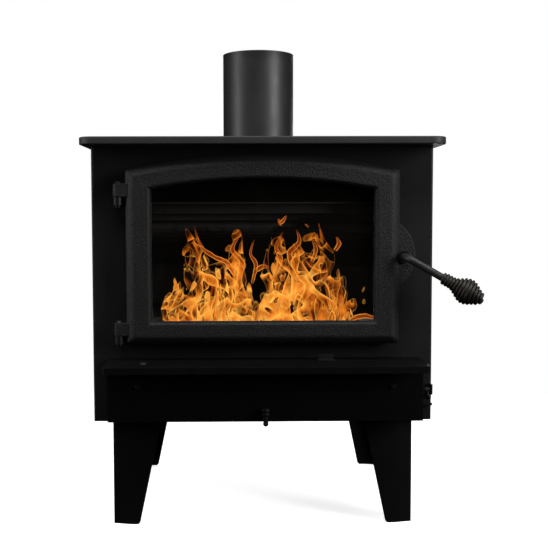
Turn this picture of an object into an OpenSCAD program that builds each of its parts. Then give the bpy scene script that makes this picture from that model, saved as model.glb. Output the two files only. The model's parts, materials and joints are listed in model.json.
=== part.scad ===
/* [Body] */
// Width of the steel body across its side panels
body_w = 630; // [615:5:640]
// Depth of the body from its front panel to its back panel
body_d = 446; // [446:2:480]
// Height of the underside of the body above the floor
leg_h = 200; // [160:5:220]
// Height of the body from its underside to the top plate
body_h = 509; // [505:1:530]
// Width of the top plate
top_w = 660; // [650:5:700]
// Thickness of the top plate
top_t = 14; // [8:1:18]
// How far the top plate stands out over the front panel
top_front = 61; // [30:1:80]

/* [Flue] */
// Outside diameter of the flue pipe
flue_d = 154; // [130:1:158]
// Length of flue pipe above the top plate
flue_h = 207; // [100:1:300]
// Distance of the flue's centre behind the front panel
flue_y = 351; // [330:1:353]

/* [Door] */
// Width of the cast door frame
door_w = 498; // [494:1:500]
// Radius of the door's arched top edge
arch_r = 1121; // [1050:1:1300]
// How far the handle hangs below level, in degrees
handle_drop = 30.5; // [15:0.5:40]
// How far the handle leans out toward the user, in degrees
handle_lean = 16.6; // [10:0.2:20]
// Length of the handle from its elbow to its tip
handle_len = 154; // [140:1:165]

/* [Ash shelf] */
// Depth of the ash shelf in front of the body
shelf_d = 110; // [100:1:118]
// Thickness of the ash shelf
shelf_t = 12.5; // [8:0.5:16]

/* [Hidden] */
$fn = 64;
touch = 0.01;          // keeps a cutting tool clear of a coincident face

// heights
deck_z = leg_h + body_h;
top_z = deck_z + top_t;
shelf_z = leg_h + 118;
door_low = leg_h + 148;
door_high = leg_h + 493;
arch_z = door_high - arch_r;   // centre of the door's arch

// body plates
side_t = 5;
face_t = 6;
half_w = body_w / 2;
inner_w = half_w - side_t;
top_back = 14;
top_corner_r = 28;

// firebox inside the body
box_w = 290;
box_back = body_d - 8;
wall_t = 5;
hearth_z = leg_h + 144;
brick_t = 32;
brick_z = hearth_z + wall_t + brick_t;
brick_h = 140;
brick_gap = 1;
brick_in = box_w - wall_t - brick_t;
roof_z = leg_h + 472;
channel_w = 22;
channel_h = 64;
channel_front = 40;
board_t = 16;                // insulating board over the air tubes
board_front = 20;            // how far the board reaches ahead of the first tube
board_side = 6;
air_bar_z = [leg_h + 386, leg_h + 404];
air_bar_y = [30, 33];
tube_r = 11;
tube_count = 4;
tube_first = [70, leg_h + 360];
tube_step = [80, -9];
tube_t = 2;
tube_span = box_w - wall_t - channel_w;

// flue
flue_r = flue_d / 2;
flue_bore = flue_r - 2;
collar_r = flue_r + 3;       // the collar stands round the pipe's foot, flush with the top plate

// door; depths are measured from the front panel's face, negative toward the user
bar_side = 46;
bar_base = 41.5;
bar_top = 44;
door_back = -14;
bar_outer = 14;              // thickness of a bar at the door's edge, at its crest and beside the glass
bar_crest = 26;
bar_inner = 17;
outer_round = 0.4;           // shares of a bar's width that are rounded off on either side
inner_round = 0.14;
rebate = [36, 34, 34];       // how far the glass rebate lies inside the door's edge
panel_hole = [41, 38, 35];   // how far the front panel's opening lies inside the door's edge
rebate_d = 6;
glass_t = 5;
glass_gap = 1;
rope_in = 11;
rope_w = 12;
rope_d = 2;                  // depth of the rope's groove in the door's back
rope_clear = 0.4;
clip_t = 2;
clip_x = 29.5;               // how far the side clips' screws lie inside the door's edge
clip_z = [leg_h + 240, leg_h + 370];
base_clip = [110, 28];       // place of the base clips' screws, across and above the door's base
screw_r = 2;

// hinge
hinge_x = -door_w / 2 - 14;
hinge_y = -25;
hinge_z = [leg_h + 164, leg_h + 416.5];     // undersides of the door's two lugs
lug_h = 24;
lug_w = 18;
pin_r = 5;
run_fit = 0.05;
knuckle_h = 15;
knuckle_r = 8;
knuckle_web = 6.5;
lug_gap = 0.5;

// latch and handle
shaft_x = 256;
shaft_z = leg_h + 307;
shaft_r = 7;
rod_r = 6.5;
elbow_y = -62;
ear_x = 206;
ear_z = leg_h + 309;
ear_r = 72;
ear_y = [-30, -17];
bush_r = 10;
cam_y = [-10.5, -6];
cam_len = 26;
cam_w = 10;
cam_rest = -70;              // direction of the cam's arm with the handle at rest
shaft_end = -2.5;
catch_x = [243, 247, 256];   // the catch's riser and lip, across the stove
catch_z = [shaft_z - 31, shaft_z - 21, shaft_z - 13];
catch_lip = [-13.7, -10.8];
grip_start = 70;
grip_wire = 5;
grip_neck = 0.2;             // share of the coil that lies straight along the rod
grip_swell = 12.5;           // how far the coil stands out from its neck at its widest
tip_gap = 6;                 // how far the rod ends short of the coil's tip

// lower front box
front_x = 3.5;               // how far the shelf and lower box sit right of the body's centre
cover_y = -52;
cover_t = 3;
cover_w = 286;
cover_z = leg_h + 9;
access_w = 236;
air_slot_w = 110;            // half the width of the air opening behind the lower box
air_slot_z = [leg_h + 10, leg_h + 70];
access_z = leg_h + 69;
access_gap = 0.5;
knob_z = leg_h + 22;
knob_y = -61;
air_rod_r = 4;
gate_y = 110;
gate_t = 3;
gate_w = 45;
duct_w = 60;
duct_back = 200;
duct_t = 4;
duct_mouth = [40, 52];       // half width and height of the opening that the gate covers
port = [30, 125, 185];       // half width, near and far edges of the air port in the hearth

// ash shelf with its bolt and slider
shelf_w = 288;
shelf_clip = 5;
shelf_bolt_at = [-216, -66];
bolt_r = 4;
slide_gap = 0.4;
slot_x = [99, 220];
slot_y = -42;
slot_r = 4;

// side lever
lever_x = 305;
lever_pivot = [-10, leg_h + 58];
lever_pin_r = 2.5;
lever_len = 16;
lever_lean = 130;
lever_plate_t = 3;
rail_z = [leg_h + 28, leg_h + 33];

// legs
leg_inset = 11;
leg_t = 4.5;
leg_x = 282;
leg_bevel = [34, 8];         // width and depth of the slanting strip between a leg's two flanges
flange_top = 56.5;
flange_foot = 16;
pad_t = 5;
bolt_hole_r = 4.2;
pad_bolts = [[-222, 38], [-255, 58]];

// the handle's own direction, and the reach of the whole stove around its centre line
rod_dir = [
    cos(handle_lean) * cos(handle_drop),
    -sin(handle_lean),
    -cos(handle_lean) * sin(handle_drop)
];
// the coil's outside: it starts tight on the rod, swells past its middle and closes in again at its tip
function grip_radius(t) = let (bulb = max(0, (t - grip_neck) / (1 - grip_neck)))
    rod_r + grip_wire + grip_swell * pow(sin(180 * bulb), 2);
grip_points = [for (i = [0:14]) [grip_start + i / 14 * (handle_len - grip_start), grip_radius(i / 14)]];
function reach(from, along, p) = from + p[0] * along + sign(along) * p[1] * sqrt(1 - along * along);
reach_right = max([for (p = grip_points) reach(shaft_x, rod_dir[0], p)]);
reach_front = min([for (p = grip_points) reach(elbow_y, rod_dir[1], p)]);
origin = [(reach_right - top_w / 2) / 2, (min(reach_front, -shelf_d) + body_d + top_back) / 2, 0];

// ---- helpers ----

// a box between two opposite corners
module slab(low, high) translate(low) cube(high - low);

// a flat shape drawn in x and z, made solid between two depths
module plate(y_near, y_far) translate([0, y_far, 0]) rotate([90, 0, 0])
    linear_extrude(y_far - y_near) children();

// a cylinder that runs front to back
module pin_y(x, z, r, y_near, y_far) translate([x, y_far, z]) rotate([90, 0, 0])
    cylinder(r = r, h = y_far - y_near);

// a shape and its mirror image on the other side of the stove
module both_sides() {
    children();
    mirror([1, 0, 0]) children();
}

// an outline with straight sides and base and an arched top, around the door's own arch centre
function arched(half, low, r) = let (swing = asin(half / r), n = 24) concat(
    [[-half, low], [half, low]],
    [for (i = [0:n]) let (a = swing * (1 - 2 * i / n)) [r * sin(a), arch_z + r * cos(a)]]);

// the door's outline, moved in from its sides, base and top
function door_outline(side, base, top) = arched(door_w / 2 - side, door_low + base, arch_r - top);

module door_ring(outer, inner) difference() {
    polygon(door_outline(outer, outer, outer));
    polygon(door_outline(inner, inner, inner));
}

// the whole stove stands with its bounding box centred over the origin
module placed() translate(-origin) children();

// ---- body ----

module top_plate() color([0.13, 0.13, 0.13]) placed() difference() {
    translate([0, 0, deck_z]) linear_extrude(top_t) union() {
        translate([-top_w / 2, -top_front + top_corner_r])
            square([top_w, top_front + body_d + top_back - 2 * top_corner_r]);
        translate([-top_w / 2 + top_corner_r, -top_front])
            square([top_w - 2 * top_corner_r, top_front + body_d + top_back]);
        for (x = [-1, 1], y = [-top_front + top_corner_r, body_d + top_back - top_corner_r])
            translate([x * (top_w / 2 - top_corner_r), y]) circle(top_corner_r);
    }
    translate([0, flue_y, deck_z - touch]) cylinder(r = collar_r, h = top_t + 2 * touch);
}

module side_panel() slab([-half_w, 0, leg_h], [-inner_w, body_d, deck_z]);
module left_side_panel() color([0.06, 0.06, 0.06]) placed() side_panel();
module right_side_panel() color([0.06, 0.06, 0.06]) placed() mirror([1, 0, 0]) side_panel();

module front_panel() color([0.06, 0.06, 0.06]) placed() difference() {
    slab([-inner_w, 0, leg_h], [inner_w, face_t, deck_z]);
    plate(-touch, face_t + touch) polygon(door_outline(panel_hole[0], panel_hole[1], panel_hole[2]));
    slab([-air_slot_w, -1, air_slot_z[0]], [air_slot_w, face_t + 1, air_slot_z[1]]);
}

module back_panel() color([0.06, 0.06, 0.06]) placed()
    slab([-inner_w, body_d - face_t, leg_h], [inner_w, body_d, deck_z]);

module bottom_panel() color([0.05, 0.05, 0.05]) placed() difference() {
    slab([-inner_w, face_t, leg_h], [inner_w, body_d - face_t, leg_h + face_t]);
    at_each_leg() at_pad_bolts() cylinder(r = bolt_hole_r, h = 2 * face_t + 1, center = true);
}

// ---- firebox ----

module firebox_floor() color([0.08, 0.07, 0.07]) placed() difference() {
    slab([-box_w, face_t, hearth_z], [box_w, box_back, hearth_z + wall_t]);
    air_port();
}

// lets the primary air up from the duct through the hearth
module air_port() slab([-port[0], port[1], hearth_z - 1], [port[0], port[2], brick_z + 1]);

module firebox_side() slab([-box_w, face_t, hearth_z + wall_t], [-box_w + wall_t, box_back, roof_z]);
module firebox_left_wall() color([0.08, 0.07, 0.07]) placed() firebox_side();
module firebox_right_wall() color([0.08, 0.07, 0.07]) placed() mirror([1, 0, 0]) firebox_side();

module firebox_back_wall() color([0.08, 0.07, 0.07]) placed()
    slab([-box_w + wall_t, box_back - wall_t, hearth_z + wall_t], [box_w - wall_t, box_back, roof_z]);

module firebox_roof() color([0.08, 0.07, 0.07]) placed() difference() {
    slab([-box_w, face_t, roof_z], [box_w, box_back, roof_z + wall_t]);
    translate([0, flue_y, roof_z - touch]) cylinder(r = collar_r, h = wall_t + 2 * touch);
}

// a row of firebricks along x or y that fills the length between two places
module brick_row(start, length, count, size) for (i = [0:count - 1])
    translate(start + i * length / count)
        cube([for (k = [0:2]) length[k] == 0 ? size[k] : abs(length[k]) / count - brick_gap]);

module floor_firebricks() color([0.45, 0.38, 0.30]) placed() difference() {
    depth = box_back - wall_t - face_t;
    front_row = 229;
    union() for (row = [[face_t, front_row], [face_t + front_row, depth - front_row]])
        brick_row([-box_w + wall_t, row[0], hearth_z + wall_t], [2 * (box_w - wall_t), 0, 0], 5,
            [0, row[1] - brick_gap, brick_t]);
    air_port();
}

module side_bricks() brick_row([-box_w + wall_t, face_t, brick_z], [0, box_back - wall_t - face_t, 0], 4,
    [brick_t, 0, brick_h]);
module left_firebricks() color([0.45, 0.38, 0.30]) placed() side_bricks();
module right_firebricks() color([0.45, 0.38, 0.30]) placed() mirror([1, 0, 0]) side_bricks();

module back_firebricks() color([0.45, 0.38, 0.30]) placed()
    brick_row([-brick_in, box_back - wall_t - brick_t, brick_z], [2 * brick_in, 0, 0], 4,
        [0, brick_t, brick_h]);

// the insulating board that rests on the air tubes and slopes with them
module baffle_board() color([0.50, 0.46, 0.40]) placed() {
    slope = atan(tube_step[1] / tube_step[0]);
    half = tube_span - board_side;
    back_gap = 5;
    back = (box_back - wall_t - tube_first[0] - back_gap) / cos(slope);
    lift = tube_r + 0.2;
    translate([0, tube_first[0], tube_first[1]]) rotate([slope, 0, 0])
        slab([-half, -board_front, lift], [half, back, lift + board_t]);
}

// an angle bar that turns air down over the inside of the glass
module air_wash_bar() color([0.30, 0.29, 0.28]) placed() {
    half = box_w - wall_t;
    bar_t = air_bar_y[1] - air_bar_y[0];
    slab([-half, air_bar_y[0], air_bar_z[0]], [half, air_bar_y[1], air_bar_z[1]]);
    slab([-half, face_t, air_bar_z[1]], [half, air_bar_y[1], air_bar_z[1] + bar_t]);
}

module air_channel() difference() {
    low = [-box_w + wall_t, channel_front, brick_z + brick_h];
    high = [-tube_span, box_back - wall_t - 1, brick_z + brick_h + channel_h];
    wall = [tube_t, tube_t, tube_t];
    slab(low, high);
    slab(low + wall, high - wall);
    at_each_tube() cylinder(r = tube_r, h = 4 * box_w, center = true);
}
module left_air_channel() color([0.25, 0.24, 0.23]) placed() air_channel();
module right_air_channel() color([0.25, 0.24, 0.23]) placed() mirror([1, 0, 0]) air_channel();

module at_each_tube() for (i = [0:tube_count - 1])
    let (place = tube_first + i * tube_step)
        translate([0, place[0], place[1]]) rotate([0, 90, 0]) children();

module secondary_air_tubes() color([0.35, 0.33, 0.31]) placed() at_each_tube() difference() {
    length = 2 * (tube_span + tube_t);
    cylinder(r = tube_r, h = length, center = true);
    cylinder(r = tube_r - tube_t, h = length + 1, center = true);
}

// ---- flue ----

module tube(outer, bore, low, high) translate([0, flue_y, low]) difference() {
    cylinder(r = outer, h = high - low, $fn = 96);
    translate([0, 0, -touch]) cylinder(r = bore, h = high - low + 2 * touch, $fn = 96);
}

module flue_collar() color([0.10, 0.10, 0.10]) placed() tube(collar_r, flue_bore, roof_z, top_z);
module flue_pipe() color([0.17, 0.17, 0.17]) placed() tube(flue_r, flue_bore, top_z, top_z + flue_h);

// ---- ash shelf and lower box ----

// a shape in plan, with its two front corners clipped off
module shelf_plan() translate([front_x, 0]) polygon([
    [-shelf_w, 0], [-shelf_w, -shelf_d + shelf_clip], [-shelf_w + shelf_clip, -shelf_d],
    [shelf_w - shelf_clip, -shelf_d], [shelf_w, -shelf_d + shelf_clip], [shelf_w, 0]]);

module slot_plan() {
    ends = slot_x + [slot_r, -slot_r];
    translate([ends[0], slot_y - slot_r]) square([ends[1] - ends[0], 2 * slot_r]);
    for (x = ends) translate([x, slot_y]) circle(slot_r);
}

module ash_shelf() color([0.10, 0.10, 0.10]) placed() difference() {
    translate([0, 0, shelf_z - shelf_t]) linear_extrude(shelf_t) shelf_plan();
    translate([0, 0, shelf_z - shelf_t - 1]) linear_extrude(shelf_t + 2) slot_plan();
    at_shelf_bolt() translate([0, 0, -shelf_t - 1]) cylinder(r = bolt_r, h = shelf_t + 2);
}

module at_shelf_bolt() translate([shelf_bolt_at[0], shelf_bolt_at[1], shelf_z]) children();

// a carriage bolt: domed head above the shelf, hexagon nut below it
module shelf_bolt() color([0.20, 0.20, 0.20]) placed() at_shelf_bolt() {
    head_r = 8;
    head_h = 3.8;
    dome_r = (head_r * head_r + head_h * head_h) / (2 * head_h);
    nut_r = 7;
    nut_h = 6;
    translate([0, 0, -shelf_t]) cylinder(r = bolt_r, h = shelf_t);
    intersection() {
        cylinder(r = head_r, h = head_h);
        translate([0, 0, head_h - dome_r]) sphere(dome_r);
    }
    translate([0, 0, -shelf_t - nut_h]) cylinder(r = nut_r, h = nut_h, $fn = 6);
}

// a foot plate over the slot with an upright thumb tab, on a stem through the shelf
module shelf_slider() color([0.12, 0.12, 0.12]) placed() {
    stem_r = slot_r - 0.6;
    foot = [31, 14, 3];
    tab = [25, 4, 8.6];
    start = slot_x[0] - 1;
    translate([slot_x[0] + slot_r + 1, slot_y, shelf_z - shelf_t - slide_gap])
        cylinder(r = stem_r, h = shelf_t + slide_gap + 1);
    translate([start, slot_y - foot[1] / 2, shelf_z + slide_gap]) cube(foot);
    translate([start + (foot[0] - tab[0]) / 2, slot_y - tab[1] / 2, shelf_z + slide_gap + foot[2]]) cube(tab);
}

module slider_plate() color([0.12, 0.12, 0.12]) placed() {
    plate_t = 3;
    top = shelf_z - shelf_t - slide_gap;
    slab([slot_x[0] - 12, cover_y + cover_t + 1, top - plate_t], [slot_x[0] + 50, slot_y + 22, top]);
}

module at_front() translate([front_x, 0, 0]) children();

module lower_box() color([0.03, 0.03, 0.03]) placed() at_front() difference() {
    inside = cover_w - cover_t;
    cover_back = cover_y + cover_t;
    slab([-cover_w, cover_y, cover_z], [cover_w, 0, shelf_z - shelf_t]);
    slab([-inside, cover_back, cover_z - 1], [inside, 1, shelf_z]);
    slab([-access_w, cover_y - 1, cover_z - 1], [access_w, cover_back + 1, access_z]);
    at_cover_screws(screw_r, cover_y - 1, cover_back + 1);
}

module at_cover_screws(r, y_near, y_far) both_sides()
    pin_y(-access_w + 5, access_z + 4, r, y_near, y_far);

module access_cover() color([0.03, 0.03, 0.03]) placed() at_front() difference() {
    half = access_w - access_gap;
    slab([-half, cover_y, cover_z], [half, cover_y + cover_t, access_z - access_gap]);
    pin_y(0, knob_z, air_rod_r + run_fit, cover_y - 1, cover_y + cover_t + 1);
}

module cover_screws() color([0.08, 0.08, 0.08]) placed() at_front() {
    head_r = 5;
    head_h = 3;
    at_cover_screws(screw_r, cover_y, cover_y + 10);
    at_cover_screws(head_r, cover_y - head_h, cover_y);
}

// ---- primary air control ----

module air_control_rod() color([0.15, 0.15, 0.15]) placed() at_front()
    pin_y(0, knob_z, air_rod_r, knob_y, gate_y);

// a short stem with two collars and a rounded foot, hung on the rod's end
module air_control_knob() color([0.20, 0.19, 0.18]) placed() at_front() difference() {
    stem_r = 4.5;
    stem_z = [leg_h + 7, leg_h + 36];
    foot_r = 5;
    bead_r = 3;
    translate([0, knob_y, 0]) {
        translate([0, 0, stem_z[0]]) cylinder(r = stem_r, h = stem_z[1] - stem_z[0]);
        translate([0, 0, stem_z[0]]) sphere(foot_r);
        for (z = [leg_h + 24.5, leg_h + 32]) translate([0, 0, z]) rotate_extrude() union() {
            translate([0, -bead_r]) square([stem_r, 2 * bead_r]);
            translate([stem_r, 0]) circle(bead_r);
        }
    }
    pin_y(0, knob_z, air_rod_r, knob_y, 0);
}

module air_gate() color([0.15, 0.15, 0.15]) placed()
    slab([-gate_w, gate_y, leg_h + face_t + 1], [gate_w, gate_y + gate_t, leg_h + 60]);

// carries the air that the gate lets in up to the port in the hearth
module air_duct() color([0.08, 0.08, 0.08]) placed() difference() {
    near = gate_y + gate_t + 0.5;
    floor_z = leg_h + face_t;
    wide = duct_w - duct_t;
    mouth = duct_mouth[0];
    slab([-duct_w, near, floor_z], [duct_w, duct_back, hearth_z]);
    slab([-wide, near + duct_t, floor_z + duct_t], [wide, duct_back - duct_t, hearth_z + 1]);
    slab([-mouth, gate_y, floor_z + 2 * duct_t], [mouth, near + duct_t + 1, leg_h + duct_mouth[1]]);
}

// ---- side lever ----

module at_lever() translate([lever_x, lever_pivot[0], lever_pivot[1]]) children();

// a back plate with two cheeks that carry the lever's pin
module lever_bracket() color([0.07, 0.07, 0.07]) placed() difference() {
    half = 9;
    cheek_y = -16;
    top = leg_h + 69;
    union() {
        slab([lever_x - half, -lever_plate_t, leg_h + 41], [lever_x + half, 0, top]);
        for (x = [lever_x - half, lever_x + half - lever_plate_t])
            slab([x, cheek_y, leg_h + 50], [x + lever_plate_t, -lever_plate_t, top]);
    }
    at_lever() rotate([0, 90, 0]) cylinder(r = lever_pin_r, h = 30, center = true);
}

// a cross pin and hub with a short arm that ends in a ball
module side_lever() color([0.16, 0.16, 0.16]) placed() at_lever() {
    rotate([0, 90, 0]) cylinder(r = lever_pin_r - run_fit, h = 19, center = true);
    rotate([0, 90, 0]) cylinder(r = 2 * lever_pin_r, h = 8, center = true);
    rotate([lever_lean, 0, 0]) {
        cylinder(r = lever_pin_r, h = lever_len);
        translate([0, 0, lever_len]) sphere(2 * lever_pin_r);
    }
}

module lever_rail() color([0.14, 0.14, 0.14]) placed()
    slab([front_x + cover_w + 2, -9, rail_z[0]], [half_w, 0, rail_z[1]]);

// ---- legs ----

// a bent plate in plan: front flange, slanting strip, side flange
leg_turn = [-leg_x + leg_bevel[0], leg_inset + leg_bevel[1]];
leg_slant = atan(leg_bevel[1] / leg_bevel[0]);
leg_inner = [
    [-leg_x + leg_t, leg_turn[1] + flange_top],
    [-leg_x + leg_t, leg_turn[1] + leg_t * tan((90 - leg_slant) / 2)],
    [leg_turn[0] + leg_t * tan(leg_slant / 2), leg_inset + leg_t],
    [leg_turn[0] + flange_top, leg_inset + leg_t]
];
leg_outer = [
    [leg_turn[0] + flange_top, leg_inset],
    [leg_turn[0], leg_inset],
    [-leg_x, leg_turn[1]],
    [-leg_x, leg_turn[1] + flange_top]
];

// the taper of one flange, drawn from its bend outward
module flange_taper() polygon([[-leg_bevel[0] - 5, 0], [flange_foot - 4, 0], [flange_foot, 4],
    [flange_top, leg_h - pad_t], [flange_top, leg_h], [-leg_bevel[0] - 5, leg_h]]);

module leg() difference() {
    union() {
        intersection() {
            linear_extrude(leg_h) polygon(concat(leg_outer, leg_inner));
            translate([leg_turn[0], 0, 0]) plate(0, 200) flange_taper();
            translate([0, leg_turn[1], 0]) rotate([0, 0, 90]) plate(0, 400) flange_taper();
        }
        translate([0, 0, leg_h - pad_t]) linear_extrude(pad_t)
            polygon(concat(leg_inner, [[leg_turn[0] + flange_top, leg_turn[1] + flange_top]]));
    }
    at_pad_bolts() cylinder(r = bolt_hole_r, h = 2 * leg_h + 1, center = true);
}

module at_pad_bolts() for (p = pad_bolts) translate([p[0], p[1], leg_h]) children();

module at_each_leg() for (right = [0, 1], rear = [0, 1])
    mirror([right, 0, 0]) translate([0, rear * body_d, 0]) mirror([0, rear, 0]) children();

module front_left_leg() color([0.04, 0.04, 0.04]) placed() leg();
module front_right_leg() color([0.04, 0.04, 0.04]) placed() mirror([1, 0, 0]) leg();
module rear_leg() translate([0, body_d, 0]) mirror([0, 1, 0]) leg();
module rear_left_leg() color([0.04, 0.04, 0.04]) placed() rear_leg();
module rear_right_leg() color([0.04, 0.04, 0.04]) placed() mirror([1, 0, 0]) rear_leg();

// hexagon bolts from below each pad, with their nuts inside the body
module leg_bolts() color([0.25, 0.25, 0.25]) placed() at_each_leg() at_pad_bolts() {
    hex_r = 7.5;
    head_h = 5.5;
    nut_h = 6.5;
    translate([0, 0, -pad_t - head_h]) cylinder(r = hex_r, h = head_h, $fn = 6);
    translate([0, 0, -pad_t]) cylinder(r = bolt_r, h = 22);
    translate([0, 0, face_t]) cylinder(r = hex_r, h = nut_h, $fn = 6);
}

// ---- hinges ----

module at_hinge(i) translate([hinge_x, hinge_y, hinge_z[i]]) children();

// the knuckle stands off the front panel and carries the door's lug on its top
module hinge_bracket() difference() {
    union() {
        translate([0, 0, -knuckle_h - lug_gap]) cylinder(r = knuckle_r, h = knuckle_h);
        slab([-knuckle_web, 0, -knuckle_h - lug_gap], [knuckle_web, -hinge_y, -lug_gap]);
    }
    translate([0, 0, -knuckle_h - 1]) cylinder(r = pin_r, h = knuckle_h + 2);
}
module upper_hinge_bracket() color([0.07, 0.07, 0.07]) placed() at_hinge(1) hinge_bracket();
module lower_hinge_bracket() color([0.07, 0.07, 0.07]) placed() at_hinge(0) hinge_bracket();

// a plain pin with a domed head that rests just over the lug
module hinge_pin() {
    head_r = 8;
    head_h = 5;
    tail = 4;
    translate([0, 0, -knuckle_h - tail]) cylinder(r = pin_r, h = knuckle_h + tail + lug_h + lug_gap);
    translate([0, 0, lug_h + lug_gap]) intersection() {
        cylinder(r = head_r, h = head_h);
        translate([0, 0, head_h - head_r - 1]) sphere(head_r + 1);
    }
}
module upper_hinge_pin() color([0.12, 0.12, 0.12]) placed() at_hinge(1) hinge_pin();
module lower_hinge_pin() color([0.12, 0.12, 0.12]) placed() at_hinge(0) hinge_pin();

// ---- door ----

// cross-section of a frame bar: flat back, rounded a little beside the glass and more at the door's edge
function bar_profile(width) = concat([[0, 0], [width, 0]],
    [for (a = [0:15:90])
        [width * (1 - inner_round * (1 - cos(a))), bar_inner + (bar_crest - bar_inner) * sin(a)]],
    [for (a = [90:-15:0]) [width * outer_round * a / 90, bar_outer + (bar_crest - bar_outer) * sin(a)]]);

module upright_bar() translate([-door_w / 2, door_back, door_low]) mirror([0, 1, 0])
    linear_extrude(arch_r) polygon(bar_profile(bar_side));

module base_bar() translate([-door_w / 2, door_back, door_low]) rotate([90, 0, 90])
    linear_extrude(door_w) polygon([for (p = bar_profile(bar_base)) [-p[1], p[0]]]);

module arch_bar() translate([0, door_back, arch_z]) rotate([90, 0, 0])
    rotate([0, 0, 60]) rotate_extrude(angle = 60, $fn = 240)
        polygon([for (p = bar_profile(bar_top)) [arch_r - p[0], p[1]]]);

// the corners between the bars are cut on their miter lines
function corner(side, base) = [-door_w / 2 + side, door_low + base];
function shoulder(inset, drop) = let (half = door_w / 2 - inset)
    [-half, arch_z + sqrt(pow(arch_r - drop, 2) - half * half)];

module upright_area() {
    reach = 3;
    outer_top = shoulder(0, 0);
    inner_top = shoulder(bar_side, bar_top);
    polygon([corner(0, 0), corner(bar_side, bar_base), inner_top, outer_top,
        outer_top + reach * (outer_top - inner_top), corner(-60, -60)]);
}

module base_area() polygon([corner(0, 0), corner(bar_side, bar_base),
    [-corner(bar_side, bar_base)[0], corner(0, bar_base)[1]], [-corner(0, 0)[0], door_low]]);

module arch_area() {
    outer_top = shoulder(0, 0);
    inner_top = shoulder(bar_side, bar_top);
    polygon([outer_top, inner_top, [-inner_top[0], inner_top[1]], [-outer_top[0], outer_top[1]],
        [-outer_top[0], outer_top[1] + 60], [outer_top[0], outer_top[1] + 60]]);
}

module frame_bars() {
    both_sides() intersection() {
        upright_bar();
        plate(-80, 0) upright_area();
        plate(-80, 0) polygon(door_outline(0, 0, 0));
    }
    intersection() {
        base_bar();
        plate(-80, 0) base_area();
    }
    intersection() {
        arch_bar();
        plate(-80, 0) arch_area();
    }
}

module hinge_lug() difference() {
    union() {
        cylinder(r = lug_w / 2, h = lug_h);
        slab([0, -lug_w / 2, 0], [20, lug_w / 2 - 2, lug_h]);
    }
    translate([0, 0, -1]) cylinder(r = pin_r + run_fit, h = lug_h + 2);
}

// the half-round ear that carries the handle
module latch_ear() intersection() {
    pin_y(ear_x, ear_z, ear_r, ear_y[0], ear_y[1]);
    slab([door_w / 2 - 12, -60, door_low], [door_w, 0, deck_z]);
}

module door_frame() color([0.12, 0.12, 0.12]) placed() difference() {
    union() {
        difference() {
            frame_bars();
            plate(door_back - rebate_d, 0) polygon(door_outline(rebate[0], rebate[1], rebate[2]));
            plate(door_back - rope_d, 0) door_ring(rope_in, rope_in + rope_w);
        }
        latch_ear();
        for (i = [0, 1]) at_hinge(i) hinge_lug();
    }
    pin_y(shaft_x, shaft_z, bush_r, -80, 0);
    pin_y(shaft_x, shaft_z, bush_r + 2.3, -80, ear_y[0]);
    at_clips() translate([0, 0, -7]) cylinder(r = screw_r, h = 8);
}

module glass_outline() let (inset = rebate + [glass_gap, glass_gap, glass_gap])
    polygon(door_outline(inset[0], inset[1], inset[2]));

module door_glass() color([0.10, 0.09, 0.08, 0.4]) placed()
    plate(door_back - glass_t, door_back) glass_outline();

module glass_gasket() color([0.60, 0.58, 0.54]) placed()
    plate(door_back - rebate_d, door_back - glass_t) difference() {
        glass_outline();
        polygon(door_outline(bar_side, bar_base, bar_top));
    }

module door_rope_gasket() color([0.30, 0.29, 0.27]) placed() plate(door_back - rope_d, -rope_clear)
    door_ring(rope_in + 0.2, rope_in + rope_w - 0.2);

// each clip's screw, with local x along the door's edge, y toward the glass and z out of the door's back
module at_clips() {
    for (side = [-1, 1], z = clip_z)
        translate([side * (door_w / 2 - clip_x), door_back, z]) rotate([-90, 0, 0])
            rotate([0, 0, side * 90]) children();
    for (side = [-1, 1])
        translate([side * base_clip[0], door_back, door_low + base_clip[1]]) rotate([-90, 0, 0])
            rotate([0, 0, 180]) children();
}

module glass_clips() color([0.35, 0.34, 0.33]) placed() at_clips() difference() {
    slab([-13, -4, 0], [13, 13, clip_t]);
    translate([0, 0, -1]) cylinder(r = screw_r, h = clip_t + 2);
}

module clip_screws() color([0.40, 0.39, 0.38]) placed() at_clips() {
    translate([0, 0, -6.5]) cylinder(r = screw_r, h = 6.5 + clip_t);
    translate([0, 0, clip_t]) cylinder(r = 4, h = 2.5);
}

// ---- latch and handle ----

module handle_bushing() color([0.18, 0.18, 0.18]) placed() difference() {
    union() {
        pin_y(shaft_x, shaft_z, bush_r, ear_y[0], ear_y[1]);
        pin_y(shaft_x, shaft_z, bush_r + 2, ear_y[0] - 6, ear_y[0]);
    }
    pin_y(shaft_x, shaft_z, shaft_r + run_fit, -80, 0);
}

// local x runs along the handle from its elbow to its tip
module along_handle() translate([shaft_x, elbow_y, shaft_z]) rotate([0, handle_drop, 0])
    rotate([0, 0, -handle_lean]) rotate([0, 90, 0]) children();

module handle_shaft() color([0.14, 0.14, 0.14]) placed() {
    pin_y(shaft_x, shaft_z, shaft_r, elbow_y, shaft_end);
    translate([shaft_x, elbow_y, shaft_z]) sphere(shaft_r);
    along_handle() cylinder(r = rod_r, h = handle_len - tip_gap);
}

module coil_grip() color([0.16, 0.15, 0.14]) placed() along_handle() difference() {
    outside = [for (p = grip_points) [p[1], p[0]]];
    rotate_extrude() polygon(concat([[0, grip_start]], outside, [[0, handle_len]]));
    translate([0, 0, grip_start - 1]) cylinder(r = rod_r, h = handle_len - tip_gap - grip_start + 1);
}

module latch_cam() color([0.20, 0.20, 0.20]) placed() plate(cam_y[0], cam_y[1])
    translate([shaft_x, shaft_z]) difference() {
        union() {
            circle(12);
            rotate(cam_rest) translate([0, -cam_w / 2]) square([cam_len, cam_w]);
        }
        circle(shaft_r);
    }

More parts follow.
